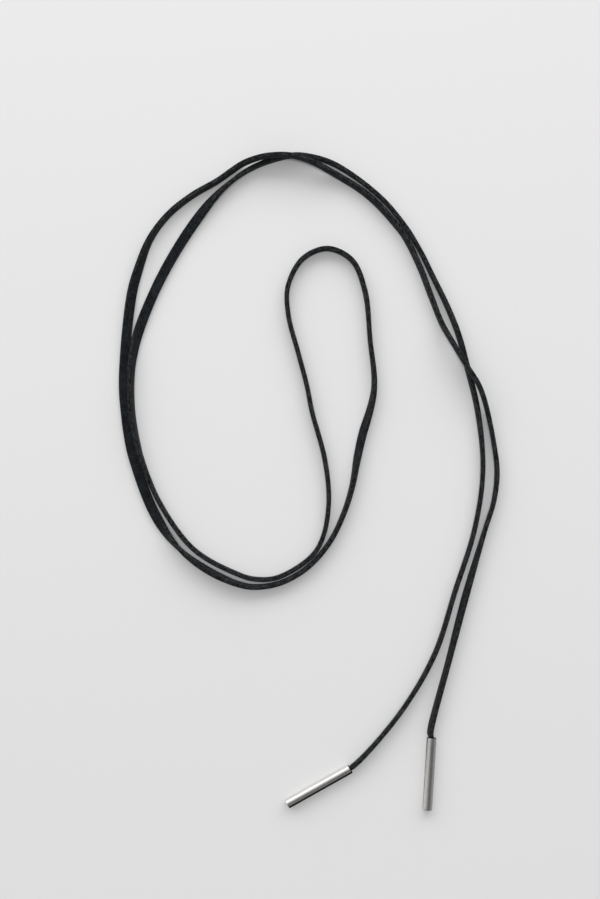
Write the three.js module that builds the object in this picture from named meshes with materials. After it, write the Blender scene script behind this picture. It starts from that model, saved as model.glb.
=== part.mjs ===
// A wrap choker: one flat suede lace, laid down in loose doubled loops, with a plain metal tube on each end.
// Millimetres, +Z up. It lies on the plane z = 0, with the origin in the middle of its footprint.
import * as THREE from 'three';

// Driving dimensions of the lace
const LACE_WIDTH = 3.3;
const LACE_THICKNESS = 1.5;
const LACE_EDGE_BEVEL = 0.35;

// Driving dimensions of the two tubes
const TUBE_LENGTH = 24;
const TUBE_RADIUS = 1.6;
const TUBE_BORE_RADIUS = 1.35;
const TUBE_RIM_BEVEL = 0.08;
const TUBE_SIDES = 24;

// Where each tube lies: the middle of its mouth, and the heading in degrees from the mouth to the far end
const TUBES = [
  { name: 'left_tube', mouth: [13.67, -95.77], heading: 209.3 },
  { name: 'right_tube', mouth: [40.82, -85.47], heading: 266.5 },
];

// Inside a tube the lace is squeezed to these shares of its width and thickness.
// It narrows over the neck, whose start and end are distances out from the mouth.
const SQUEEZED_WIDTH = 0.64;
const SQUEEZED_THICKNESS = 0.95;
const NECK_START = 0.3;
const NECK_END = 1.4;

// Where the lace crosses itself, the upper strand rides on the lower one. Where it twists, it can arch up.
// It is level for this distance each way from such a place, and comes down over the ramp.
const CROSSING_GAP = 0.2;
const CROSSING_LIFT = LACE_WIDTH + CROSSING_GAP;
const LIFT_LEVEL = 7;
const LIFT_RAMP = 14;

// The lace's turn is averaged over this distance each way, so that it twists without a break
const TURN_EASE = 6;

// How finely the lace is divided: a section at each row of the route, and after so much length, bend or twist
const STATIONS_PER_ROW = 24;
const LONGEST_STEP = 9;
const LARGEST_BEND = THREE.MathUtils.degToRad(9);
const LARGEST_TWIST = THREE.MathUtils.degToRad(14);

// The lace's route as it lies, from the left tube to the right one.
// The columns are x, y, turn in degrees (0 lies flat, 90 and -90 stand on edge)
// and, where it is lifted off the surface, how far.
const ROUTE = [
  // out of the left tube and up the right side
  [8.47, -98.72, 90],
  [13.62, -95.67, 90],
  [19.6, -90.1, 85],
  [32.15, -74.6, 84],
  [42.0, -57.15, 91],
  [48.75, -36.2, 89],
  [55.05, -16.2, 88],
  [57.9, 3.6, 85],
  [56.15, 23.5, 95],
  [52.5, 38.85, 97],
  [49.6, 49.4, 96],
  [45.95, 58.5, 94],
  [41.6, 67.5, 90],
  [37.2, 76.5, 86],
  [32.0, 85.0, 87],
  [23.4, 95.1, 82],
  [8.7, 105.6, 89],
  [0.4, 108.3, 90],
  // under the top crossing, turning flat on the way down the left side
  [-5.8, 108.7, 90],
  [-18.4, 104.85, 93],
  [-29.2, 97.2, 72],
  [-39.7, 84.3, 4],
  [-49.9, 67.1, 0],
  [-56.9, 50.2, -20],
  [-58.72, 42.0, -62],
  [-59.34, 35.0, -73],
  [-59.38, 28.6, -75, 0.8],
  [-58.92, 21.8, -75, 0.8],
  [-57.73, 15.0, -78],
  [-57.02, 11.7, -84],
  // the inner strand of the lower bend, and up into the bight
  [-56.18, 8.4, -88],
  [-50.1, -6.7, -91],
  [-38.4, -22.7, -91],
  [-23.8, -30.9, -90],
  [-18.0, -32.55, -90],
  [-10.6, -32.0, -90],
  [0.4, -25.3, -91],
  [4.35, -19.15, -91],
  [6.5, -7.1, -91],
  [5.25, 7.0, -87],
  [0.9, 23.4, -89],
  [-0.8, 32.0, -89],
  [-3.65, 42.8, -89],
  [-7.0, 55.8, -90],
  [-7.05, 65.25, -90],
  [-2.1, 74.3, -92],
  [6.1, 77.65, -92],
  [14.2, 73.8, -92],
  [18.5, 63.8, -95],
  [20.3, 47.2, -88],
  [21.6, 30.7, -100],
  [17.5, 14.6, -133],
  [16.1, 8.2, -114],
  [14.3, -1.7, -99],
  // the outer strand of the lower bend, and flat up the left side
  [11.45, -10.8, -96],
  [6.7, -20.4, -94],
  [-0.5, -28.6, -93],
  [-8.75, -33.5, -93],
  [-16.2, -35.1, -95],
  [-22.0, -34.6, -98],
  [-34.2, -29.2, -116, 1.5],
  [-44.7, -20.85, -80],
  [-52.1, -9.75, -4],
  [-58.8, 8.4, 0],
  [-60.2, 15.0, 0],
  [-61.13, 21.8, 0],
  [-61.92, 33.8, 0],
  [-59.3, 62.0, 25],
  [-56.7, 71.6, 53],
  [-53.0, 80.9, 77],
  [-47.2, 88.7, 80],
  [-39.5, 95.0, 82],
  [-30.9, 100.0, 84],
  [-21.1, 106.15, 86],
  // over the top crossing, and over the right one
  [-6.6, 108.1, 90, CROSSING_LIFT],
  [7.25, 103.0, 82],
  [19.8, 95.2, 77],
  [30.3, 83.9, 79],
  [32.85, 80.0, 81],
  [37.05, 71.1, 82],
  [40.7, 61.5, 84],
  [45.05, 50.7, 88],
  [52.35, 38.05, 90, CROSSING_LIFT],
  [56.08, 32.1, 91],
  [59.45, 22.8, 93],
  [61.5, 13.0, 97],
  // down the right side into the right tube
  [62.6, 3.2, 88],
  [61.5, -6.7, 94],
  [58.6, -16.1, 95],
  [52.0, -38.6, 70],
  [46.1, -61.2, 82],
  [41.75, -77.2, 80],
  [40.6, -82.0, 78],
  [40.36, -84.0, 78],
  [40.67, -85.47, 78],
  [40.45, -91.46, 78],
];

const LAST_ROW = ROUTE.length - 1;
const TUBE_AXIS_HEIGHT = TUBE_RADIUS * Math.cos(Math.PI / TUBE_SIDES);

// The lace's cut section, lying flat: a rectangle with its long edges bevelled
function laceSection() {
  const halfWidth = LACE_WIDTH / 2;
  const halfThickness = LACE_THICKNESS / 2;
  const innerWidth = halfWidth - LACE_EDGE_BEVEL;
  const innerThickness = halfThickness - LACE_EDGE_BEVEL;
  return [
    [halfWidth, -innerThickness], [halfWidth, innerThickness],
    [innerWidth, halfThickness], [-innerWidth, halfThickness],
    [-halfWidth, innerThickness], [-halfWidth, -innerThickness],
    [-innerWidth, -halfThickness], [innerWidth, -halfThickness],
  ].map(([across, through]) => new THREE.Vector2(across, through));
}

// Closely spaced stations along the route, each with its place, its distance from the start and its turn
function walkRoute() {
  const plan = new THREE.CatmullRomCurve3(
    ROUTE.map(([x, y]) => new THREE.Vector3(x, y, 0)), false, 'centripetal');
  const stations = [];
  let distance = 0;
  for (let step = 0; step <= LAST_ROW * STATIONS_PER_ROW; step++) {
    const row = Math.min(Math.floor(step / STATIONS_PER_ROW), LAST_ROW - 1);
    const share = step / STATIONS_PER_ROW - row;
    const place = plan.getPoint(step / (LAST_ROW * STATIONS_PER_ROW));
    if (step > 0) distance += place.distanceTo(stations[step - 1].place);
    const turn = THREE.MathUtils.lerp(ROUTE[row][2], ROUTE[row + 1][2], share);
    stations.push({ place, distance, turn: THREE.MathUtils.degToRad(turn) });
  }
  return stations;
}

// The turn at each station, eased over its neighbours, so that the lace twists without a break
function easeTurns(stations) {
  return stations.map(({ distance }) => {
    const near = stations.filter((other) => Math.abs(other.distance - distance) <= TURN_EASE);
    return near.reduce((sum, other) => sum + other.turn, 0) / near.length;
  });
}

// How far the lace is squeezed at a station: 0 along its length, 1 inside a tube
function squeezeAt(distance, mouths) {
  const outside = Math.min(distance - mouths[0], mouths[1] - distance);
  return 1 - THREE.MathUtils.smoothstep(outside, NECK_START, NECK_END);
}

// How far the lace is lifted off the surface at a station
function liftAt(distance, lifts) {
  return Math.max(...lifts.map(({ at, height }) => {
    const away = Math.abs(distance - at);
    return height * (1 - THREE.MathUtils.smoothstep(away, LIFT_LEVEL, LIFT_LEVEL + LIFT_RAMP));
  }));
}

// Half the height of the section at a turn, which is how high its middle lies above the surface
function restingHeight(section, turn) {
  return Math.max(...section.map((corner) => corner.x * Math.sin(turn) + corner.y * Math.cos(turn)));
}

// The sections of the lace, set where it bends or twists, each with its middle and its two scaled directions
function laySections(section) {
  const stations = walkRoute();
  const turns = easeTurns(stations);
  const atRow = (row) => stations[row * STATIONS_PER_ROW].distance;
  const mouths = [atRow(1), atRow(LAST_ROW - 1)];
  const lifts = ROUTE.flatMap((row, index) => (row[3] ? [{ at: atRow(index), height: row[3] }] : []));

  const middles = stations.map(({ place, distance }, index) => {
    const squeeze = squeezeAt(distance, mouths);
    const lying = restingHeight(section, turns[index]) + liftAt(distance, lifts);
    return place.clone().setZ(THREE.MathUtils.lerp(lying, TUBE_AXIS_HEIGHT, squeeze));
  });

  const sections = [];
  let last = null;
  stations.forEach(({ distance }, index) => {
    const before = middles[Math.max(index - 1, 0)];
    const after = middles[Math.min(index + 1, middles.length - 1)];
    const along = after.clone().sub(before).normalize();
    const turn = turns[index];
    const isRow = index % STATIONS_PER_ROW === 0;
    const isDue = isRow || distance - last.distance > LONGEST_STEP
      || along.angleTo(last.along) > LARGEST_BEND || Math.abs(turn - last.turn) > LARGEST_TWIST;
    if (!isDue) return;
    const left = new THREE.Vector3(-along.y, along.x, 0).normalize();
    const up = along.clone().cross(left);
    const squeeze = squeezeAt(distance, mouths);
    const widthScale = THREE.MathUtils.lerp(1, SQUEEZED_WIDTH, squeeze);
    const thicknessScale = THREE.MathUtils.lerp(1, SQUEEZED_THICKNESS, squeeze);
    const across = left.clone().multiplyScalar(Math.cos(turn)).addScaledVector(up, Math.sin(turn));
    const through = left.clone().multiplyScalar(-Math.sin(turn)).addScaledVector(up, Math.cos(turn));
    last = { distance, along, turn };
    sections.push({
      middle: middles[index],
      across: across.multiplyScalar(widthScale),
      through: through.multiplyScalar(thicknessScale),
    });
  });
  return sections;
}

// The lace: a straight bar of the section with one step for each laid section, bent along the route
function makeLace() {
  const section = laceSection();
  const sections = laySections(section);
  const steps = sections.length - 1;
  const shape = new THREE.Shape(section);
  const bar = new THREE.ExtrudeGeometry(shape, { depth: steps, steps, bevelEnabled: false });
  const corner = new THREE.Vector3();
  const positions = bar.getAttribute('position');
  for (let index = 0; index < positions.count; index++) {
    corner.fromBufferAttribute(positions, index);
    const { middle, across, through } = sections[Math.round(corner.z)];
    const bent = middle.clone().addScaledVector(across, corner.x).addScaledVector(through, corner.y);
    positions.setXYZ(index, bent.x, bent.y, bent.z);
  }
  bar.computeVertexNormals();
  const suede = new THREE.MeshStandardMaterial({ color: 0x17181a, roughness: 0.95, metalness: 0 });
  const lace = new THREE.Mesh(bar, suede);
  lace.name = 'suede_lace';
  return lace;
}

// A tube: a straight length of thin-walled tubing, cut square
function makeTube({ name, mouth, heading }) {
  const profile = [
    [TUBE_BORE_RADIUS, TUBE_RIM_BEVEL], [TUBE_BORE_RADIUS + TUBE_RIM_BEVEL, 0],
    [TUBE_RADIUS - TUBE_RIM_BEVEL, 0], [TUBE_RADIUS, TUBE_RIM_BEVEL],
    [TUBE_RADIUS, TUBE_LENGTH - TUBE_RIM_BEVEL], [TUBE_RADIUS - TUBE_RIM_BEVEL, TUBE_LENGTH],
    [TUBE_BORE_RADIUS + TUBE_RIM_BEVEL, TUBE_LENGTH], [TUBE_BORE_RADIUS, TUBE_LENGTH - TUBE_RIM_BEVEL],
    [TUBE_BORE_RADIUS, TUBE_RIM_BEVEL],
  ].map(([radius, along]) => new THREE.Vector2(radius, along));
  const wall = new THREE.LatheGeometry(profile, TUBE_SIDES, Math.PI / TUBE_SIDES);
  const metal = new THREE.MeshStandardMaterial({ color: 0xc8c9c8, roughness: 0.18, metalness: 1 });
  const tube = new THREE.Mesh(wall, metal);
  tube.name = name;
  tube.position.set(...mouth, TUBE_AXIS_HEIGHT);
  tube.rotation.z = THREE.MathUtils.degToRad(heading - 90);
  return tube;
}

const choker = new THREE.Group();
choker.add(makeLace());
TUBES.forEach((tube) => choker.add(makeTube(tube)));

export default choker;
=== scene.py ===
import math

import bpy
import numpy
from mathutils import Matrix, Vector


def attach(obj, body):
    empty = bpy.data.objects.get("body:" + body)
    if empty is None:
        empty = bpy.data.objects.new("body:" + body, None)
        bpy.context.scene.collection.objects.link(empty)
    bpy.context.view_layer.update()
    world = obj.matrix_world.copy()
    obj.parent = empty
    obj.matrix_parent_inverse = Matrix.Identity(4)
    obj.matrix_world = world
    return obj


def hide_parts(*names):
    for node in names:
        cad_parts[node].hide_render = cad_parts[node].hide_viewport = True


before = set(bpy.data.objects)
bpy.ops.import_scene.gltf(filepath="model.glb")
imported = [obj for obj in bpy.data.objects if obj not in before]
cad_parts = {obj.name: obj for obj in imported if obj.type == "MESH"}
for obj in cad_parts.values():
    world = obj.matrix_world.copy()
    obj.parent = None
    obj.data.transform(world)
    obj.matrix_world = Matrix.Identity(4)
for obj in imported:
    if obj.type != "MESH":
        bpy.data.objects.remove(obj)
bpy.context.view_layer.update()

# The view: the choker lies on a level surface and is seen from straight above.
# The frame is 600 by 899 pixels, and 3 pixels cover 1 mm at half the height of the lace on its edge.
PICTURE_HEIGHT = 899
PIXELS_PER_METRE = 3000.0
SCALE_HEIGHT = 0.00165
VIEW_HEIGHT = 0.5
VIEW_MIDDLE = (-0.00308, 0.01068)
SENSOR_SIZE = 36.0


def put_in_scene(name, data):
    """A new object with that data, linked into the scene."""
    thing = bpy.data.objects.new(name, data)
    bpy.context.scene.collection.objects.link(thing)
    return thing


camera_data = bpy.data.cameras.new("view_from_above")
camera_data.sensor_fit = "AUTO"
camera_data.sensor_width = SENSOR_SIZE
camera_data.lens = SENSOR_SIZE * (VIEW_HEIGHT - SCALE_HEIGHT) * PIXELS_PER_METRE / PICTURE_HEIGHT
camera_data.clip_start = 0.01
camera_data.clip_end = 20.0
camera = put_in_scene("view_from_above", camera_data)
camera.location = (*VIEW_MIDDLE, VIEW_HEIGHT)
bpy.context.scene.camera = camera

# The suede lace: one flat strip of black suede, 3.3 mm wide, 1.5 mm thick and about 1.13 m long.
# It is knife cut from a hide, so its two faces have a nap and its two narrow edges show cut fibres.
# It is laid down in loose doubled loops, mostly on edge, and its two ends are pushed into the tubes.
LACE_WIDTH = 0.0033
LACE_THICKNESS = 0.0015
LACE_EDGE_ROUND = 0.0004
EDGE_ROUND_ANGLES = (0, 30, 60, 90)
FACE_CROWN = 0.00002
FACE_POINTS = (0.2, 0.5, 0.8)
EDGE_POINTS = (0.5,)
CAD_EDGE_BEVEL = 0.00035
LACE_RING_STEP = 0.0006
STATIONS_PER_ROW = 24
TURN_EASE = 0.006
WIDTH_WAVER = 0.010
WIDTH_WAVELENGTH = 0.041
THICKNESS_WAVER = 0.018
THICKNESS_WAVELENGTH = 0.017
# A lifted row stays level for a stretch to either side, and the lace comes down over the ramp after it.
CROSSING_GAP = 0.0002
CROSSING_LIFT = LACE_WIDTH + CROSSING_GAP
LIFT_LEVEL = 0.007
LIFT_RAMP = 0.014
# The tubes rest on one of the 24 flat sides of their solids. Each squeezes the lace in its bore,
# and the lace widens again over a short neck outside the mouth.
TUBE_RADIUS = 0.0016
CAD_TUBE_SIDES = 24
TUBE_AXIS_HEIGHT = TUBE_RADIUS * math.cos(math.pi / CAD_TUBE_SIDES)
SQUEEZED_WIDTH = 0.64
SQUEEZED_THICKNESS = 0.95
NECK_START = 0.0003
NECK_END = 0.0014
# The suede's colours: the nap on the faces, and the paler fibres on the cut edges.
FACE_DEEP = (0.0012, 0.0014, 0.0016)
FACE_RAISED = (0.0338, 0.0386, 0.0440)
CUT_DEEP = (0.0004, 0.0004, 0.0005, 1.0)
CUT_PALE = (0.047, 0.0494, 0.053, 1.0)
CUT_EDGE_FROM = 0.00120
CUT_EDGE_FULL = 0.00155
CUT_EDGE_SHARE = 0.7

# The columns are x, y, turn in degrees (0 lies flat, 90 and -90 stand on edge) and how far it is lifted.
LACE_ROUTE = (
    # out of the left tube and up the right side
    (0.00847, -0.09872, 90, 0),
    (0.01362, -0.09567, 90, 0),
    (0.0196, -0.0901, 85, 0),
    (0.03215, -0.0746, 84, 0),
    (0.0420, -0.05715, 91, 0),
    (0.04875, -0.0362, 89, 0),
    (0.05505, -0.0162, 88, 0),
    (0.0579, 0.0036, 85, 0),
    (0.05615, 0.0235, 95, 0),
    (0.0525, 0.03885, 97, 0),
    (0.0496, 0.0494, 96, 0),
    (0.04595, 0.0585, 94, 0),
    (0.0416, 0.0675, 90, 0),
    (0.0372, 0.0765, 86, 0),
    (0.0320, 0.0850, 87, 0),
    (0.0234, 0.0951, 82, 0),
    (0.0087, 0.1056, 89, 0),
    (0.0004, 0.1083, 90, 0),
    # under the top crossing, turning flat on the way down the left side
    (-0.0058, 0.1087, 90, 0),
    (-0.0184, 0.10485, 93, 0),
    (-0.0292, 0.0972, 72, 0),
    (-0.0397, 0.0843, 4, 0),
    (-0.0499, 0.0671, 0, 0),
    (-0.0569, 0.0502, -20, 0),
    (-0.05872, 0.0420, -62, 0),
    (-0.05934, 0.0350, -73, 0),
    (-0.05938, 0.0286, -75, 0.0008),
    (-0.05892, 0.0218, -75, 0.0008),
    (-0.05773, 0.0150, -78, 0),
    (-0.05702, 0.0117, -84, 0),
    # the inner strand of the lower bend, and up into the bight
    (-0.05618, 0.0084, -88, 0),
    (-0.0501, -0.0067, -91, 0),
    (-0.0384, -0.0227, -91, 0),
    (-0.0238, -0.0309, -90, 0),
    (-0.0180, -0.03255, -90, 0),
    (-0.0106, -0.0320, -90, 0),
    (0.0004, -0.0253, -91, 0),
    (0.00435, -0.01915, -91, 0),
    (0.0065, -0.0071, -91, 0),
    (0.00525, 0.0070, -87, 0),
    (0.0009, 0.0234, -89, 0),
    (-0.0008, 0.0320, -89, 0),
    (-0.00365, 0.0428, -89, 0),
    (-0.0070, 0.0558, -90, 0),
    (-0.00705, 0.06525, -90, 0),
    (-0.0021, 0.0743, -92, 0),
    (0.0061, 0.07765, -92, 0),
    (0.0142, 0.0738, -92, 0),
    (0.0185, 0.0638, -95, 0),
    (0.0203, 0.0472, -88, 0),
    (0.0216, 0.0307, -100, 0),
    (0.0175, 0.0146, -133, 0),
    (0.0161, 0.0082, -114, 0),
    (0.0143, -0.0017, -99, 0),
    # the outer strand of the lower bend, and flat up the left side
    (0.01145, -0.0108, -96, 0),
    (0.0067, -0.0204, -94, 0),
    (-0.0005, -0.0286, -93, 0),
    (-0.00875, -0.0335, -93, 0),
    (-0.0162, -0.0351, -95, 0),
    (-0.0220, -0.0346, -98, 0),
    (-0.0342, -0.0292, -116, 0.0015),
    (-0.0447, -0.02085, -80, 0),
    (-0.0521, -0.00975, -4, 0),
    (-0.0588, 0.0084, 0, 0),
    (-0.0602, 0.0150, 0, 0),
    (-0.06113, 0.0218, 0, 0),
    (-0.06192, 0.0338, 0, 0),
    (-0.0593, 0.0620, 25, 0),
    (-0.0567, 0.0716, 53, 0),
    (-0.0530, 0.0809, 77, 0),
    (-0.0472, 0.0887, 80, 0),
    (-0.0395, 0.0950, 82, 0),
    (-0.0309, 0.1000, 84, 0),
    (-0.0211, 0.10615, 86, 0),
    # over the top crossing, and over the right one
    (-0.0066, 0.1081, 90, CROSSING_LIFT),
    (0.00725, 0.1030, 82, 0),
    (0.0198, 0.0952, 77, 0),
    (0.0303, 0.0839, 79, 0),
    (0.03285, 0.0800, 81, 0),
    (0.03705, 0.0711, 82, 0),
    (0.0407, 0.0615, 84, 0),
    (0.04505, 0.0507, 88, 0),
    (0.05235, 0.03805, 90, CROSSING_LIFT),
    (0.05608, 0.0321, 91, 0),
    (0.05945, 0.0228, 93, 0),
    (0.0615, 0.0130, 97, 0),
    # down the right side into the right tube
    (0.0626, 0.0032, 88, 0),
    (0.0615, -0.0067, 94, 0),
    (0.0586, -0.0161, 95, 0),
    (0.0520, -0.0386, 70, 0),
    (0.0461, -0.0612, 82, 0),
    (0.04175, -0.0772, 80, 0),
    (0.0406, -0.0820, 78, 0),
    (0.04036, -0.0840, 78, 0),
    (0.04067, -0.08547, 78, 0),
    (0.04045, -0.09146, 78, 0),
)


def ease(value, low, high):
    """A smooth step from 0 at low to 1 at high."""
    share = numpy.clip((value - low) / (high - low), 0.0, 1.0)
    return share * share * (3.0 - 2.0 * share)


def smooth_span(start, first, second, end, shares):
    """Points on a centripetal Catmull-Rom curve from first to second."""
    gap_before, gap, gap_after = (
        math.sqrt(numpy.linalg.norm(b - a)) for a, b in ((start, first), (first, second), (second, end))
    )
    leave = (first - start) / gap_before - (second - start) / (gap_before + gap) + (second - first) / gap
    arrive = (second - first) / gap - (end - first) / (gap + gap_after) + (end - second) / gap_after
    leave = leave * gap
    arrive = arrive * gap
    square = -3.0 * first + 3.0 * second - 2.0 * leave - arrive
    cube = 2.0 * first - 2.0 * second + leave + arrive
    share = shares[:, None]
    return first + leave * share + square * share**2 + cube * share**3


def walk_route():
    """Closely spaced stations along the route: their places, distances from the start and turns."""
    rows = numpy.array(LACE_ROUTE)
    points = rows[:, :2]
    knots = numpy.vstack([2.0 * points[0] - points[1], points, 2.0 * points[-1] - points[-2]])
    shares = numpy.arange(STATIONS_PER_ROW) / STATIONS_PER_ROW
    spans = [smooth_span(*knots[row:row + 4], shares) for row in range(len(points) - 1)]
    places = numpy.vstack(spans + [points[-1:]])
    steps = numpy.linalg.norm(numpy.diff(places, axis=0), axis=1)
    distances = numpy.concatenate([[0.0], numpy.cumsum(steps)])
    row_numbers = numpy.arange(len(places)) / STATIONS_PER_ROW
    turns = numpy.interp(row_numbers, numpy.arange(len(rows)), rows[:, 2])
    near = numpy.abs(distances[:, None] - distances[None, :]) <= TURN_EASE
    eased = (near @ turns) / near.sum(axis=1)
    return places, distances, numpy.radians(eased)


def wander(distances, wavelength, start):
    """A slow wavering between about -1 and 1, made of three waves that never meet in the same way again."""
    phase = 2.0 * math.pi * distances / wavelength + start
    return (numpy.sin(phase) + numpy.sin(1.618 * phase + 1.3) + numpy.sin(2.414 * phase + 4.1)) / 3.0


def lace_section():
    """The cut section lying flat: rounded corners and slightly crowned faces, counter-clockwise."""
    inner_width = LACE_WIDTH / 2 - LACE_EDGE_ROUND
    inner_thickness = LACE_THICKNESS / 2 - LACE_EDGE_ROUND
    # The columns are the corner's side in x and in y, the angle at which its round starts,
    # and the points on the straight side after it, with the way in which that side is crowned.
    corners = (
        (1, 1, 0, FACE_POINTS, 1),
        (-1, 1, 90, EDGE_POINTS, 0),
        (-1, -1, 180, FACE_POINTS, -1),
        (1, -1, 270, EDGE_POINTS, 0),
    )
    rounds = []
    for side_x, side_y, first_angle, side_points, crown_way in corners:
        directions = [math.radians(first_angle + angle) for angle in EDGE_ROUND_ANGLES]
        rounds.append([
            (
                side_x * inner_width + LACE_EDGE_ROUND * math.cos(direction),
                side_y * inner_thickness + LACE_EDGE_ROUND * math.sin(direction),
            )
            for direction in directions
        ])
    section = []
    for index, (side_x, side_y, first_angle, side_points, crown_way) in enumerate(corners):
        section += rounds[index]
        point = rounds[index][-1]
        following = rounds[(index + 1) % len(rounds)][0]
        for share in side_points:
            crown = crown_way * FACE_CROWN * 4.0 * share * (1.0 - share)
            section.append((
                point[0] + (following[0] - point[0]) * share,
                point[1] + (following[1] - point[1]) * share + crown,
            ))
    return numpy.array(section)


def resting_height(turns):
    """Half the height of the bevelled section at each turn, which is how high its middle lies."""
    half_width = LACE_WIDTH / 2
    half_thickness = LACE_THICKNESS / 2
    inner_width = half_width - CAD_EDGE_BEVEL
    inner_thickness = half_thickness - CAD_EDGE_BEVEL
    corners = ((half_width, inner_thickness), (inner_width, half_thickness))
    heights = [x * numpy.abs(numpy.sin(turns)) + y * numpy.abs(numpy.cos(turns)) for x, y in corners]
    return numpy.max(heights, axis=0)


def lay_lace():
    """The rings of the lace: middles, scaled directions across and through it, and distances."""
    places, distances, turns = walk_route()
    mouths = (distances[STATIONS_PER_ROW], distances[-1 - STATIONS_PER_ROW])
    count = int(round(distances[-1] / LACE_RING_STEP)) + 1
    at = numpy.linspace(0.0, distances[-1], count)
    turn = numpy.interp(at, distances, turns)
    squeeze = 1.0 - ease(numpy.minimum(at - mouths[0], mouths[1] - at), NECK_START, NECK_END)
    lifts = []
    for row, (x, y, row_turn, rise) in enumerate(LACE_ROUTE):
        if rise:
            from_row = numpy.abs(at - distances[row * STATIONS_PER_ROW])
            lifts.append(rise * (1.0 - ease(from_row, LIFT_LEVEL, LIFT_LEVEL + LIFT_RAMP)))
    height = resting_height(turn) + numpy.max(lifts, axis=0)
    height = height + (TUBE_AXIS_HEIGHT - height) * squeeze
    middles = numpy.column_stack([
        numpy.interp(at, distances, places[:, 0]),
        numpy.interp(at, distances, places[:, 1]),
        height,
    ])
    along = numpy.gradient(middles, axis=0)
    along /= numpy.linalg.norm(along, axis=1)[:, None]
    left = numpy.column_stack([-along[:, 1], along[:, 0], numpy.zeros(count)])
    left /= numpy.linalg.norm(left, axis=1)[:, None]
    up = numpy.cross(along, left)
    loose = 1.0 - squeeze
    width_waver = WIDTH_WAVER * loose * wander(at, WIDTH_WAVELENGTH, start=0.7)
    thickness_waver = THICKNESS_WAVER * loose * wander(at, THICKNESS_WAVELENGTH, start=2.9)
    width_scale = 1.0 + (SQUEEZED_WIDTH - 1.0) * squeeze + width_waver
    thickness_scale = 1.0 + (SQUEEZED_THICKNESS - 1.0) * squeeze + thickness_waver
    cosine = numpy.cos(turn)[:, None]
    sine = numpy.sin(turn)[:, None]
    across = (cosine * left + sine * up) * width_scale[:, None]
    through = (cosine * up - sine * left) * thickness_scale[:, None]
    return middles, across, through, at


def strip_mesh(name, rings, places):
    """A closed strip through rings of points, with flat ends, and the attribute lace_place from places."""
    count, sides = rings.shape[:2]
    vertices = numpy.vstack([rings.reshape(-1, 3), rings[0].mean(axis=0), rings[-1].mean(axis=0)])
    faces = []
    for ring in range(count - 1):
        for side in range(sides):
            following = (side + 1) % sides
            here = ring * sides
            ahead = here + sides
            faces.append((here + side, here + following, ahead + following, ahead + side))
    start_middle = count * sides
    end_middle = start_middle + 1
    last = (count - 1) * sides
    for side in range(sides):
        following = (side + 1) % sides
        faces.append((start_middle, following, side))
        faces.append((end_middle, last + side, last + following))
    mesh = bpy.data.meshes.new(name)
    mesh.from_pydata(vertices.tolist(), [], faces)
    mesh.polygons.foreach_set("use_smooth", [True] * len(mesh.polygons))
    place = mesh.attributes.new("lace_place", "FLOAT_VECTOR", "POINT")
    ends = numpy.array([[places[0, 0, 0], 0.0, 0.0], [places[-1, 0, 0], 0.0, 0.0]])
    place.data.foreach_set("vector", numpy.vstack([places.reshape(-1, 3), ends]).ravel())
    mesh.update()
    return mesh


middles, across, through, lace_distances = lay_lace()
section = lace_section()
lace_rings = (
    middles[:, None, :]
    + section[None, :, 0, None] * across[:, None, :]
    + section[None, :, 1, None] * through[:, None, :]
)
lace_places = numpy.empty(lace_rings.shape)
lace_places[:, :, 0] = lace_distances[:, None]
lace_places[:, :, 1] = section[None, :, 0]
lace_places[:, :, 2] = section[None, :, 1]
lace_mesh = strip_mesh("suede_lace_dressed", lace_rings, lace_places)
lace = put_in_scene("suede_lace_dressed", lace_mesh)


def socket_named(sockets, name):
    """The socket in use with that name, since some nodes keep unused ones of the same name."""
    return next(socket for socket in sockets if socket.name == name and socket.enabled)


def feed(tree, socket, value):
    """Gives an input its value, or links it where the value is another node's output."""
    if isinstance(value, bpy.types.NodeSocket):
        tree.links.new(value, socket)
    else:
        socket.default_value = value


def add_node(tree, kind, settings=None, **values):
    """A node of that kind in the tree, with its settings and the values or links of its named inputs."""
    node = tree.nodes.new(kind)
    for key, value in (settings or {}).items():
        setattr(node, key, value)
    for key, value in values.items():
        feed(tree, socket_named(node.inputs, key.replace("_", " ")), value)
    return node


def result(node):
    """The result of a Mix, Map Range or Compare node."""
    return socket_named(node.outputs, "Result")


def new_material(name):
    """A material with an empty node tree, and that tree."""
    material = bpy.data.materials.new(name)
    material.use_nodes = True
    material.node_tree.nodes.clear()
    return material, material.node_tree


def finish_material(tree, shader):
    """Links the shader to the material's surface."""
    output = tree.nodes.new("ShaderNodeOutputMaterial")
    tree.links.new(shader.outputs["BSDF"], output.inputs["Surface"])


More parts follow.
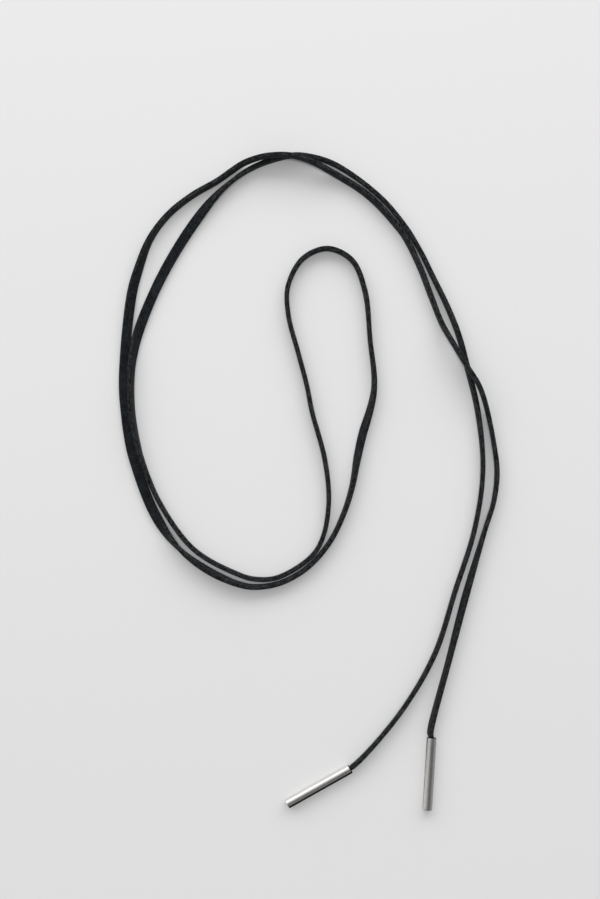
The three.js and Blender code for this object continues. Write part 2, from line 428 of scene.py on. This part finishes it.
def suede_tone_group():
    """The tone of the dyed suede: soft patches where the nap lies over, and a fine grain."""
    group = bpy.data.node_groups.new("suede_tone", "ShaderNodeTree")
    for name, way, kind in (
        ("Deep", "INPUT", "NodeSocketColor"),
        ("Raised", "INPUT", "NodeSocketColor"),
        ("Colour", "OUTPUT", "NodeSocketColor"),
        ("Nap", "OUTPUT", "NodeSocketFloat"),
    ):
        group.interface.new_socket(name, in_out=way, socket_type=kind)
    entry = group.nodes.new("NodeGroupInput")
    leave = group.nodes.new("NodeGroupOutput")
    spot = group.nodes.new("ShaderNodeTexCoord").outputs["Object"]
    patches = add_node(group, "ShaderNodeTexNoise", Vector=spot, Scale=420.0, Detail=3.0, Roughness=0.6)
    grain = add_node(group, "ShaderNodeTexNoise", Vector=spot, Scale=3200.0, Detail=5.0, Roughness=0.85)
    both = add_node(
        group, "ShaderNodeMix", {"data_type": "FLOAT"},
        Factor=0.88, A=patches.outputs["Fac"], B=grain.outputs["Fac"],
    )
    nap = add_node(
        group, "ShaderNodeMapRange", {"interpolation_type": "SMOOTHSTEP"},
        Value=result(both), From_Min=0.45, From_Max=0.60,
    )
    nap_share = result(nap)
    tone = add_node(
        group, "ShaderNodeMix", {"data_type": "RGBA"},
        Factor=nap_share, A=entry.outputs["Deep"], B=entry.outputs["Raised"],
    )
    group.links.new(result(tone), leave.inputs["Colour"])
    group.links.new(nap_share, leave.inputs["Nap"])
    return group


suede_tone = suede_tone_group()


def suede_tone_in(tree, deep, raised):
    """The suede's tone placed in a material, from its deep colour to that of its raised nap."""
    node = tree.nodes.new("ShaderNodeGroup")
    node.node_tree = suede_tone
    node.inputs["Deep"].default_value = (*deep, 1.0)
    node.inputs["Raised"].default_value = (*raised, 1.0)
    return node


def black_suede():
    """Dyed suede: soft nap on the faces, and paler cut fibres that run lengthwise on the narrow edges."""
    material, tree = new_material("black_suede")
    tone = suede_tone_in(tree, deep=FACE_DEEP, raised=FACE_RAISED)
    place = add_node(tree, "ShaderNodeAttribute", {"attribute_name": "lace_place"}).outputs["Vector"]
    parts = add_node(tree, "ShaderNodeSeparateXYZ", Vector=place)
    from_middle = add_node(tree, "ShaderNodeMath", {"operation": "ABSOLUTE"}, Value=parts.outputs["Y"])
    cut_edge = add_node(
        tree, "ShaderNodeMapRange", {"interpolation_type": "SMOOTHSTEP"},
        Value=from_middle.outputs["Value"],
        From_Min=CUT_EDGE_FROM, From_Max=CUT_EDGE_FULL, To_Max=CUT_EDGE_SHARE,
    )
    stretched = add_node(tree, "ShaderNodeMapping", Vector=place, Scale=(0.4, 1.0, 1.0))
    fibres = add_node(
        tree, "ShaderNodeTexNoise",
        Vector=stretched.outputs["Vector"], Scale=2600.0, Detail=4.0, Roughness=0.75,
    )
    fibre_share = add_node(
        tree, "ShaderNodeMapRange", Value=fibres.outputs["Fac"], From_Min=0.44, From_Max=0.59,
    )
    edge_tone = add_node(
        tree, "ShaderNodeMix", {"data_type": "RGBA"},
        Factor=result(fibre_share), A=CUT_DEEP, B=CUT_PALE,
    )
    colour = add_node(
        tree, "ShaderNodeMix", {"data_type": "RGBA"},
        Factor=result(cut_edge), A=tone.outputs["Colour"], B=result(edge_tone),
    )
    spot = tree.nodes.new("ShaderNodeTexCoord").outputs["Object"]
    creases = add_node(tree, "ShaderNodeTexNoise", Vector=spot, Scale=900.0, Detail=4.0, Roughness=0.6)
    soft_bump = add_node(
        tree, "ShaderNodeBump",
        Strength=0.5, Distance=0.00012, Height=creases.outputs["Fac"],
    )
    fibre_bump = add_node(
        tree, "ShaderNodeBump",
        Strength=0.7, Distance=0.00006, Height=fibres.outputs["Fac"], Normal=soft_bump.outputs["Normal"],
    )
    dryness = add_node(
        tree, "ShaderNodeMapRange", Value=tone.outputs["Nap"], To_Min=0.84, To_Max=0.98,
    )
    shader = add_node(
        tree, "ShaderNodeBsdfPrincipled",
        Base_Color=result(colour),
        Roughness=result(dryness),
        Normal=fibre_bump.outputs["Normal"],
        Specular_IOR_Level=0.06,
        Sheen_Weight=0.06,
        Sheen_Roughness=0.45,
    )
    finish_material(tree, shader)
    return material


lace_mesh.materials.append(black_suede())
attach(lace, "root")
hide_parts("suede_lace")

# The nap: the short loose fibres that stand out of the suede on its faces and its cut edges.
# They are part of the hide, raised when the suede is buffed and cut, and dyed with it.
NAP_PER_SQUARE_METRE = 4.3e6
NAP_LENGTH = 0.00030
NAP_RADIUS = 0.000012
NAP_LEAN = math.radians(62.0)
NAP_SHORTEST = 0.35
NAP_LOWEST_FACING = -0.6
NAP_SEED = 7
NAP_DEEP = (0.006, 0.0065, 0.007)
NAP_RAISED = (0.032, 0.0345, 0.037)


def calculated(tree, kind, operation, first, second):
    """The value of a math node with two inputs, each a value or a link."""
    node = add_node(tree, kind, {"operation": operation})
    feed(tree, node.inputs[0], first)
    feed(tree, node.inputs[1], second)
    return node.outputs["Value"]


def nap_tree():
    """Slim spikes scattered over a surface, except where it faces down, each leaning its own way."""
    tree = bpy.data.node_groups.new("suede_nap", "GeometryNodeTree")
    tree.interface.new_socket("Geometry", in_out="INPUT", socket_type="NodeSocketGeometry")
    for name, kind in (
        ("Density", "NodeSocketFloat"), ("Length", "NodeSocketFloat"), ("Radius", "NodeSocketFloat"),
        ("Lean", "NodeSocketFloat"), ("Seed", "NodeSocketInt"), ("Material", "NodeSocketMaterial"),
    ):
        tree.interface.new_socket(name, in_out="INPUT", socket_type=kind)
    tree.interface.new_socket("Geometry", in_out="OUTPUT", socket_type="NodeSocketGeometry")
    entry = tree.nodes.new("NodeGroupInput")
    leave = tree.nodes.new("NodeGroupOutput")
    given = entry.outputs
    outward = tree.nodes.new("GeometryNodeInputNormal").outputs["Normal"]
    height_part = add_node(tree, "ShaderNodeSeparateXYZ", Vector=outward).outputs["Z"]
    not_below = add_node(
        tree, "FunctionNodeCompare", {"data_type": "FLOAT", "operation": "GREATER_THAN"},
        A=height_part, B=NAP_LOWEST_FACING,
    )
    scatter = add_node(
        tree, "GeometryNodeDistributePointsOnFaces",
        Mesh=given["Geometry"], Selection=result(not_below),
        Density=given["Density"], Seed=given["Seed"],
    )
    spike = add_node(
        tree, "GeometryNodeMeshCone", {"fill_type": "NGON"},
        Vertices=3, Radius_Bottom=given["Radius"], Radius_Top=0.0, Depth=given["Length"],
    )
    back = calculated(tree, "ShaderNodeMath", "MULTIPLY", given["Lean"], -1.0)
    least = add_node(tree, "ShaderNodeCombineXYZ", X=back, Y=back, Z=0.0)
    most = add_node(tree, "ShaderNodeCombineXYZ", X=given["Lean"], Y=given["Lean"], Z=2.0 * math.pi)
    leaning = add_node(
        tree, "FunctionNodeRandomValue", {"data_type": "FLOAT_VECTOR"},
        Min=least.outputs["Vector"], Max=most.outputs["Vector"], Seed=given["Seed"],
    )
    turned = add_node(
        tree, "FunctionNodeEulerToRotation", Euler=socket_named(leaning.outputs, "Value"),
    )
    direction = add_node(
        tree, "FunctionNodeRotateRotation", {"rotation_space": "LOCAL"},
        Rotation=scatter.outputs["Rotation"], Rotate_By=turned.outputs["Rotation"],
    )
    growth = add_node(
        tree, "FunctionNodeRandomValue", {"data_type": "FLOAT"},
        Min=NAP_SHORTEST, Max=1.0, Seed=given["Seed"],
    )
    planted = add_node(
        tree, "GeometryNodeInstanceOnPoints",
        Points=scatter.outputs["Points"], Instance=spike.outputs["Mesh"],
        Rotation=direction.outputs["Rotation"], Scale=socket_named(growth.outputs, "Value"),
    )
    whole = add_node(tree, "GeometryNodeRealizeInstances", Geometry=planted.outputs["Instances"])
    dressed = add_node(
        tree, "GeometryNodeSetMaterial", Geometry=whole.outputs["Geometry"], Material=given["Material"],
    )
    tree.links.new(dressed.outputs["Geometry"], leave.inputs["Geometry"])
    return tree


def nap_suede():
    """The same dye as the lace, a little paler because the fibres stand in the light."""
    material, tree = new_material("black_suede_nap")
    tone = suede_tone_in(tree, deep=NAP_DEEP, raised=NAP_RAISED)
    shader = add_node(
        tree, "ShaderNodeBsdfPrincipled",
        Base_Color=tone.outputs["Colour"], Roughness=0.95, Specular_IOR_Level=0.1,
    )
    finish_material(tree, shader)
    return material


def grown(name, base_mesh, tree, **values):
    """The plain mesh that a geometry tree makes on base_mesh, as a new object."""
    holder = put_in_scene(name + "_base", base_mesh.copy())
    modifier = holder.modifiers.new(name, "NODES")
    modifier.node_group = tree
    for item in tree.interface.items_tree:
        if item.in_out == "INPUT" and item.name in values:
            modifier[item.identifier] = values[item.name]
    graph = bpy.context.evaluated_depsgraph_get()
    mesh = bpy.data.meshes.new_from_object(holder.evaluated_get(graph))
    holder.modifiers.remove(modifier)
    bpy.data.objects.remove(holder)
    mesh.name = name
    return put_in_scene(name, mesh)


nap = grown(
    "suede_nap", lace_mesh, nap_tree(),
    Density=NAP_PER_SQUARE_METRE, Length=NAP_LENGTH, Radius=NAP_RADIUS,
    Lean=NAP_LEAN, Seed=NAP_SEED, Material=nap_suede(),
)
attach(nap, "root")

# The two tubes: straight lengths of thin-walled metal tubing, rolled with a seam and cut square.
# They are plated in a silver tone and polished. Painted shade darkens a band along the seams, the mouths'
# rims and one side, as dark colour standing in for the shade that these parts would mirror or hold.
# Each is pushed on an end of the lace and glued there.
TUBE_LENGTH = 0.024
TUBE_BORE_RADIUS = 0.00134
TUBE_RIM_ROUND = 0.00009
RIM_ROUND_ANGLES = (0, 22.5, 45, 67.5, 90)
NEAR_RINGS = (0.0002, 0.0006)
WALL_RINGS_FROM = 0.0012
WALL_RINGS_TO = TUBE_LENGTH - 0.0006
WALL_RINGS = 22
TUBE_SIDES = 96
TUBE_WAVER = 0.000003
TUBE_WAVELENGTH = 0.0071
# The seam is a fine groove. The wall's even sides leave room for it, and closer ones take their place there.
SEAM_DEPTH = 0.00010
SEAM_EDGE = (0.00005, 0.00011)
SEAM_ROOM = 12.0
SEAM_OFFSETS = (-9.0, -6.5, -4.6, -3.6, -2.6, -1.6, 0.0, 1.6, 2.6, 3.6, 4.6, 6.5, 9.0)
# Painted shade over one side, a dark stand-in for the dim side that it would mirror, fades out between these
# angles, in degrees from the side that lies right in the view.
SIDE_PAINTED_DARK_FADE = (45.0, 66.0)
PLATING_DIM = (0.77, 0.755, 0.73, 1.0)
PLATING_BRIGHT = (0.89, 0.875, 0.85, 1.0)
# The colour of the painted shade on the tubes: a dark, matt stand-in for mirrored shade.
PAINTED_DARK = (0.012, 0.012, 0.012, 1.0)
LEFT_MOUTH = (0.01367, -0.09577)
RIGHT_MOUTH = (0.04082, -0.08547)
# mouth is the middle of the end where the lace goes in, and heading the way to the far end, in degrees.
# seam_angle is measured from the side that lies right in the view, up towards the top, in degrees.
# The reach after seam_angle is how far from the seam a band of painted shade starts to fade and ends, and
# the next key is how strong that band is at the mouth and at the far end. The band stands in for the shaded
# floor and dim room that the flank would mirror. rim_reach is such a reach from the mouth along the tube,
# for painted shade on the mouth's rim, which stands in for the shade in the bore's opening.
# The last key is how strongly the whole side that lies right in the view is painted dark, as painted shade
# standing in for the dim side that it would mirror.
TUBES = (
    {
        "node": "left_tube",
        "mouth": LEFT_MOUTH,
        "heading": 209.3,
        "seam_angle": 39.0,
        "painted_dark_reach": (0.00062, 0.00098),
        "seam_painted_dark": (1.0, 1.0),
        "rim_reach": (0.00010, 0.00019),
        "side_painted_dark": 0.0,
    },
    {
        "node": "right_tube",
        "mouth": RIGHT_MOUTH,
        "heading": 266.5,
        "seam_angle": 166.0,
        "painted_dark_reach": (0.00028, 0.00058),
        "seam_painted_dark": (1.0, 0.4),
        "rim_reach": (0.00000, 0.00005),
        "side_painted_dark": 0.64,
    },
)


def tube_profile():
    """Radius and distance from the mouth, once round the cut wall, from the bore's mouth outwards."""
    outer = TUBE_AXIS_HEIGHT
    rounds = numpy.radians(RIM_ROUND_ANGLES)
    near = TUBE_RIM_ROUND
    far = TUBE_LENGTH - TUBE_RIM_ROUND
    inner_rim = TUBE_BORE_RADIUS + TUBE_RIM_ROUND
    outer_rim = outer - TUBE_RIM_ROUND
    wall = numpy.linspace(WALL_RINGS_FROM, WALL_RINGS_TO, WALL_RINGS)
    lengths = numpy.concatenate([NEAR_RINGS, wall])
    profile = [(inner_rim - near * math.cos(angle), near - near * math.sin(angle)) for angle in rounds]
    profile += [(outer_rim + near * math.sin(angle), near - near * math.cos(angle)) for angle in rounds]
    profile += [(outer, along) for along in lengths]
    profile += [(outer_rim + near * math.cos(angle), far + near * math.sin(angle)) for angle in rounds]
    profile += [(inner_rim - near * math.sin(angle), far + near * math.cos(angle)) for angle in rounds]
    profile += [(TUBE_BORE_RADIUS, along) for along in lengths[::-1]]
    return numpy.array(profile)


def off_centre(degrees):
    """How far each angle lies from 0 degrees, the short way round."""
    return numpy.abs((degrees + 180.0) % 360.0 - 180.0)


def make_tube(node, mouth, heading, seam_angle, painted_dark_reach, seam_painted_dark, rim_reach, side_painted_dark):
    """The tube as a closed mesh in its place, with its own coordinates in tube_place and its painted shade.
    """
    profile = tube_profile()
    plain = numpy.arange(SEAM_ROOM, 360.0 - SEAM_ROOM, 360.0 / TUBE_SIDES)
    offsets = numpy.concatenate([plain, 360.0 + numpy.array(SEAM_OFFSETS)])
    angles = numpy.radians(seam_angle + offsets)
    sides = len(angles)
    along = profile[:, 1, None]
    from_seam = numpy.radians(off_centre(offsets)) * TUBE_AXIS_HEIGHT
    is_outer = (profile[:, 0] > (TUBE_AXIS_HEIGHT + TUBE_BORE_RADIUS) / 2)[:, None]
    groove = SEAM_DEPTH * (1.0 - ease(from_seam, *SEAM_EDGE))[None, :] * is_outer
    waver_phase = 2.0 * math.pi * along / TUBE_WAVELENGTH + 2.0 * angles[None, :] + seam_angle
    radius = profile[:, 0, None] - groove + TUBE_WAVER * numpy.sin(waver_phase)
    own = numpy.empty((len(profile), sides, 3))
    own[:, :, 0] = radius * numpy.cos(angles)
    own[:, :, 1] = radius * numpy.sin(angles)
    own[:, :, 2] = along
    direction = math.radians(heading)
    ahead = numpy.array([math.cos(direction), math.sin(direction), 0.0])
    side = numpy.array([-math.sin(direction), math.cos(direction), 0.0])
    top = numpy.array([0.0, 0.0, 1.0])
    points = own[:, :, :1] * side + own[:, :, 1:2] * top + own[:, :, 2:] * ahead
    points = points + numpy.array([mouth[0], mouth[1], TUBE_AXIS_HEIGHT])
    faces = []
    for ring in range(len(profile)):
        here = ring * sides
        beyond = (ring + 1) % len(profile) * sides
        for index in range(sides):
            following = (index + 1) % sides
            faces.append((here + index, here + following, beyond + following, beyond + index))
    mesh = bpy.data.meshes.new(node + "_dressed")
    mesh.from_pydata(points.reshape(-1, 3).tolist(), [], faces)
    mesh.polygons.foreach_set("use_smooth", [True] * len(mesh.polygons))
    place = mesh.attributes.new("tube_place", "FLOAT_VECTOR", "POINT")
    place.data.foreach_set("vector", own.ravel())
    # Painted shade: a band along the seam, whose strength changes from the mouth to the far end, and the rim
    # at the mouth.
    fading = seam_painted_dark[0] + (seam_painted_dark[1] - seam_painted_dark[0]) * (along / TUBE_LENGTH)
    dark = (1.0 - ease(from_seam, *painted_dark_reach))[None, :] * fading
    rim = 1.0 - ease(along, *rim_reach)
    # Painted shade over the side that lies right in the view.
    side_dark = side_painted_dark * (1.0 - ease(off_centre(numpy.degrees(angles)), *SIDE_PAINTED_DARK_FADE))[None, :]
    painted_dark = mesh.attributes.new("painted_dark", "FLOAT", "POINT")
    painted_dark.data.foreach_set("value", numpy.maximum(numpy.maximum(dark, rim), side_dark).ravel())
    mesh.update()
    return put_in_scene(node + "_dressed", mesh)


def polished_metal():
    """Plated metal: bright, with fine lines round it, faint rubbed marks along it, and matt painted shade.
    """
    material, tree = new_material("polished_metal")
    place = add_node(tree, "ShaderNodeAttribute", {"attribute_name": "tube_place"}).outputs["Vector"]
    round_it = add_node(tree, "ShaderNodeMapping", Vector=place, Scale=(0.08, 0.08, 1.0))
    along_it = add_node(tree, "ShaderNodeMapping", Vector=place, Scale=(1.0, 1.0, 0.06))
    lines = add_node(
        tree, "ShaderNodeTexNoise",
        Vector=round_it.outputs["Vector"], Scale=6500.0, Detail=4.0, Roughness=0.7,
    )
    rubs = add_node(
        tree, "ShaderNodeTexNoise",
        Vector=along_it.outputs["Vector"], Scale=3800.0, Detail=3.0, Roughness=0.6,
    )
    clouds = add_node(tree, "ShaderNodeTexNoise", Vector=place, Scale=420.0, Detail=3.0, Roughness=0.55)
    marks = add_node(
        tree, "ShaderNodeMix", {"data_type": "FLOAT"},
        Factor=0.5, A=lines.outputs["Fac"], B=rubs.outputs["Fac"],
    )
    both = add_node(
        tree, "ShaderNodeMix", {"data_type": "FLOAT"},
        Factor=0.5, A=result(marks), B=clouds.outputs["Fac"],
    )
    roughness = add_node(
        tree, "ShaderNodeMapRange",
        Value=result(both), From_Min=0.3, From_Max=0.7, To_Min=0.22, To_Max=0.38,
    )
    bright = add_node(
        tree, "ShaderNodeMix", {"data_type": "RGBA"},
        Factor=clouds.outputs["Fac"], A=PLATING_DIM, B=PLATING_BRIGHT,
    )
    # Where the painted shade lies, the bright metal gives way to a dark matt colour.
    painted_dark_share = add_node(tree, "ShaderNodeAttribute", {"attribute_name": "painted_dark"}).outputs["Fac"]
    colour = add_node(
        tree, "ShaderNodeMix", {"data_type": "RGBA"},
        Factor=painted_dark_share, A=result(bright), B=PAINTED_DARK,
    )
    bare = calculated(tree, "ShaderNodeMath", "SUBTRACT", 1.0, painted_dark_share)
    bump = add_node(
        tree, "ShaderNodeBump",
        Strength=0.12, Distance=0.00002, Height=result(marks),
    )
    shader = add_node(
        tree, "ShaderNodeBsdfPrincipled",
        Base_Color=result(colour),
        Roughness=result(roughness),
        Normal=bump.outputs["Normal"],
        Metallic=bare,
        Specular_IOR_Level=0.02,
    )
    finish_material(tree, shader)
    return material


plating = polished_metal()
for build in TUBES:
    tube = make_tube(**build)
    tube.data.materials.append(plating)
    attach(tube, "root")
    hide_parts(build["node"])

# The surface that the choker lies on: a plain pale floor, level, and a hair's breadth below the lace.
FLOOR_HEIGHT = -0.00005
FLOOR_HALF = 0.8

floor_corners = [(-1, -1), (1, -1), (1, 1), (-1, 1)]
floor_points = [(x * FLOOR_HALF, y * FLOOR_HALF, FLOOR_HEIGHT) for x, y in floor_corners]
floor_mesh = bpy.data.meshes.new("floor")
floor_mesh.from_pydata(floor_points, [], [(0, 1, 2, 3)])
floor = put_in_scene("floor", floor_mesh)
floor_material, floor_tree = new_material("pale_floor")
floor_shader = add_node(
    floor_tree, "ShaderNodeBsdfPrincipled",
    Base_Color=(0.72, 0.72, 0.72, 1.0), Roughness=0.6, Specular_IOR_Level=0.2,
)
finish_material(floor_tree, floor_shader)
floor_mesh.materials.append(floor_material)

# The light: a wide soft one beyond the top of the layout, so that soft shadows fall downwards,
# and a small one high above.


def soft_light(name, place, width, depth, energy):
    """A rectangular light that faces the middle of the floor and isn't mirrored in the tubes."""
    data = bpy.data.lights.new(name, "AREA")
    data.shape = "RECTANGLE"
    data.size = width
    data.size_y = depth
    data.energy = energy
    light = put_in_scene(name, data)
    light.location = place
    light.visible_glossy = False
    light.rotation_euler = (-Vector(place)).to_track_quat("-Z", "Y").to_euler()


soft_light("key_beyond", place=(-0.06, 0.898, 0.60), width=2.4, depth=0.6, energy=9.7)
soft_light("fill_above", place=(0.0, 0.0, 1.5), width=0.35, depth=0.35, energy=6.0)

# The room fills the shadows, more from beyond the top than from below. The polished tubes mirror another
# side of it, a bright one among dim walls.
ROOM_FILL_SIDE = (-0.066, 0.998, 0.0)
ROOM_FILL = (0.30, 1.47)
ROOM_BRIGHT_SIDE = Vector((-0.68, 0.65, 0.34)).normalized()
ROOM_DIM = 0.135
ROOM_BRIGHT = 1.62
ROOM_NARROW = 3.0

world = bpy.data.worlds.new("soft_room")
world.use_nodes = True
world.cycles.sampling_method = "NONE"
room = world.node_tree
outward = room.nodes.new("ShaderNodeTexCoord").outputs["Generated"]
fill = add_node(
    room, "ShaderNodeMapRange",
    Value=calculated(room, "ShaderNodeVectorMath", "DOT_PRODUCT", outward, ROOM_FILL_SIDE),
    To_Min=ROOM_FILL[0], To_Max=ROOM_FILL[1],
)
towards = calculated(room, "ShaderNodeVectorMath", "DOT_PRODUCT", outward, ROOM_BRIGHT_SIDE)
facing = calculated(room, "ShaderNodeMath", "MAXIMUM", towards, 0.0)
narrowed = calculated(room, "ShaderNodeMath", "POWER", facing, ROOM_NARROW)
glow = add_node(room, "ShaderNodeMapRange", Value=narrowed, To_Min=ROOM_DIM, To_Max=ROOM_BRIGHT)
strength = add_node(
    room, "ShaderNodeMix", {"data_type": "FLOAT"},
    Factor=room.nodes.new("ShaderNodeLightPath").outputs["Is Glossy Ray"],
    A=result(fill), B=result(glow),
)
background = room.nodes["Background"]
background.inputs["Color"].default_value = (1.0, 1.0, 1.0, 1.0)
room.links.new(result(strength), background.inputs["Strength"])
bpy.context.scene.world = world
bpy.context.scene.view_settings.view_transform = "Standard"
